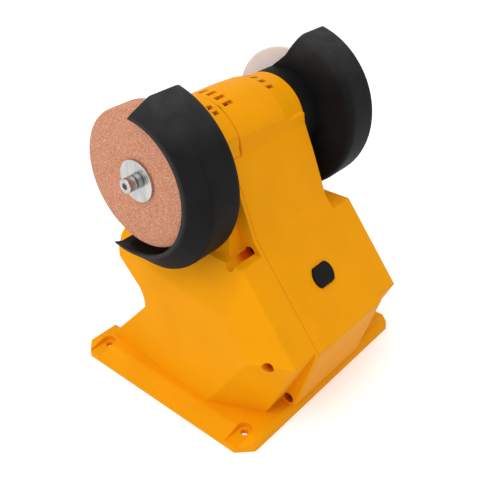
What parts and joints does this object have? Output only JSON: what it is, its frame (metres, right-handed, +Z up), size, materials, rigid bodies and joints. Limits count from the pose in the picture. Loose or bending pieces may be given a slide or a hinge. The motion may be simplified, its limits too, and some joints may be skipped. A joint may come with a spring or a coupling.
{
  "type": "cordless mini bench grinder",
  "caption": "Cordless mini bench grinder with a grinding wheel and a felt polishing wheel on one motor shaft, half-round guards and a faceted stand on a base plate.",
  "frame": {"origin": "centre of the base plate's underside", "axes": "+Z up, +X along the wheel axis towards the polishing wheel, -Y towards the user and the button panel"},
  "size_m": [0.1608, 0.1526, 0.1926],
  "materials": {
    "housing_plastic": "satin moulded plastic",
    "guard_plastic": "matt textured plastic",
    "black_plastic": "matt plastic",
    "steel": "bright turned steel",
    "zinc_screws": "zinc-plated steel",
    "black_steel": "blackened steel",
    "motor_iron": "dark iron laminations and magnets",
    "copper": "enamelled copper wire and bars",
    "brass": "bare brass contacts",
    "carbon": "pressed carbon",
    "abrasive": "grainy bonded abrasive",
    "felt": "pale pressed felt",
    "board": "lacquered circuit board",
    "red_lead": "insulated lead",
    "black_lead": "insulated lead",
    "white_lead": "insulated lead"
  },
  "bodies": {
    "stand": {"base_plate": "housing_plastic", "main_housing": "housing_plastic", "left_cover": "housing_plastic", "cover_screws": "zinc_screws", "base_screws": "zinc_screws", "left_guard": "guard_plastic", "right_guard": "guard_plastic", "guard_screws": "zinc_screws", "motor_can": "steel", "motor_end_cap": "black_plastic", "motor_magnets": "motor_iron", "motor_screws": "zinc_screws", "bearing_outer_rings": "steel", "carbon_brushes": "carbon", "brush_arms": "brass", "switch_body": "black_plastic", "control_board": "board", "board_capacitor": "black_plastic", "power_transistor": "black_plastic", "board_screws": "zinc_screws", "battery_dock": "black_plastic", "dock_screws": "zinc_screws", "terminal_block": "black_plastic", "terminal_blades": "brass", "positive_lead": "red_lead", "negative_lead": "black_lead", "switch_lead_a": "red_lead", "switch_lead_b": "white_lead", "motor_lead_a": "red_lead", "motor_lead_b": "black_lead"},
    "rotor": {"motor_shaft": "steel", "armature_core": "motor_iron", "armature_windings": "copper", "commutator": "copper", "cooling_fan": "black_plastic", "bearing_inner_rings": "steel", "left_arbor": "steel", "right_arbor": "steel", "arbor_set_screws": "black_steel", "grinding_wheel": "abrasive", "polishing_wheel": "felt", "left_outer_washer": "steel", "right_outer_washer": "steel", "spring_washers": "zinc_screws", "left_wheel_screw": "steel", "right_wheel_screw": "steel"},
    "cages": {"ball_cages": "steel"},
    "button": {"power_button": "black_plastic"}
  },
  "joints": [
    {"name": "rotor_spin", "type": "hinge", "parent": "stand", "child": "rotor", "pos_m": [0, 0.0073, 0.146], "axis": [1, 0, 0], "continuous": true},
    {"name": "cage_spin", "type": "hinge", "parent": "stand", "child": "cages", "pos_m": [0, 0.0073, 0.146], "axis": [1, 0, 0], "continuous": true},
    {"name": "button_press", "type": "slide", "parent": "stand", "child": "button", "axis": [0, 0.7812, -0.6243], "range_m": [0, 0.0014], "stiffness_N_per_m": 800}
  ],
  "couplings": [
    {"joint": "cage_spin", "follows": "rotor_spin", "ratio": 0.39}
  ]
}
